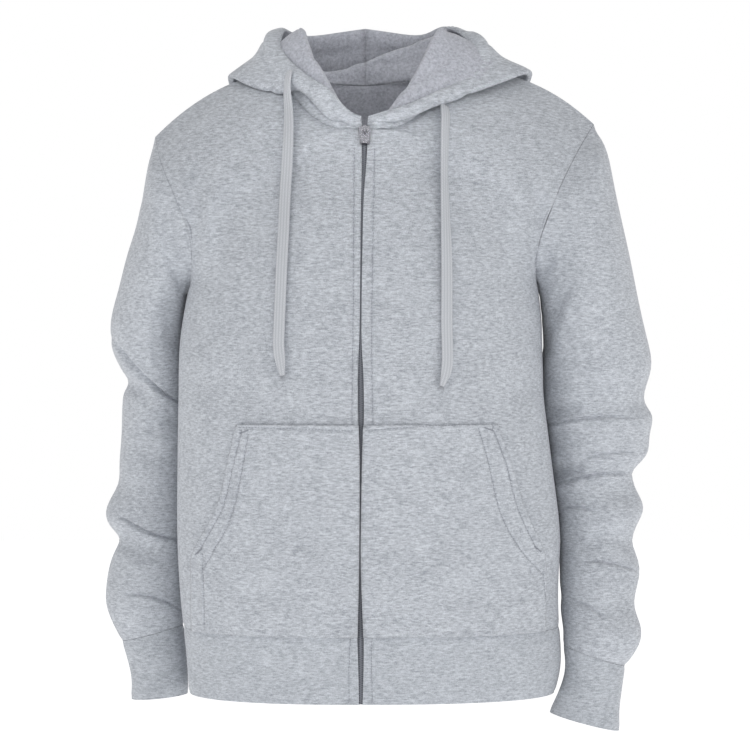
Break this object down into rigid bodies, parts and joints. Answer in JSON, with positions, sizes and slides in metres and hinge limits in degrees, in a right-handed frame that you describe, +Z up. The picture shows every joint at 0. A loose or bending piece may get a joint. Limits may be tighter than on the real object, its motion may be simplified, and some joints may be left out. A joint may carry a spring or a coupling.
{
  "type": "zip up hoodie",
  "caption": "Zip up hoodie in brushed fleece, filled out as if worn: hood down, front zip closed, split kangaroo pocket, set-in sleeves, cuffs, hem band and flat drawcord ends.",
  "frame": {"origin": "base of the neck between the shoulders, where the wearer carries the garment", "axes": "+X to the wearer's left, -Y out of the front, +Z up"},
  "size_m": [0.61, 0.2894, 0.7846],
  "materials": {
    "fleece": "heather grey brushed fleece, smooth marl face",
    "ribbing": "heather grey rib knit",
    "braid": "flat braided cotton cord",
    "zip_tape": "woven tape with a grey moulded chain",
    "zip_metal": "bright nickel"
  },
  "bodies": {
    "garment": {"front_right": "fleece", "front_left": "fleece", "back": "fleece", "hem_band": "ribbing", "sleeve_right": "fleece", "sleeve_left": "fleece", "cuff_right": "ribbing", "cuff_left": "ribbing", "hood_right": "fleece", "hood_left": "fleece", "pocket_right": "fleece", "pocket_left": "fleece", "zip_right": "zip_tape", "zip_left": "zip_tape", "drawcord_right": "braid", "drawcord_left": "braid", "zip_slider": "zip_metal"},
    "pull": {"pull_tab": "zip_metal"}
  },
  "joints": [
    {"name": "pull_hinge", "type": "hinge", "parent": "garment", "child": "pull", "pos_m": [0.00027, -0.1033, -0.06488], "axis": [-1, 0, 0], "range_deg": [0, 140]}
  ]
}
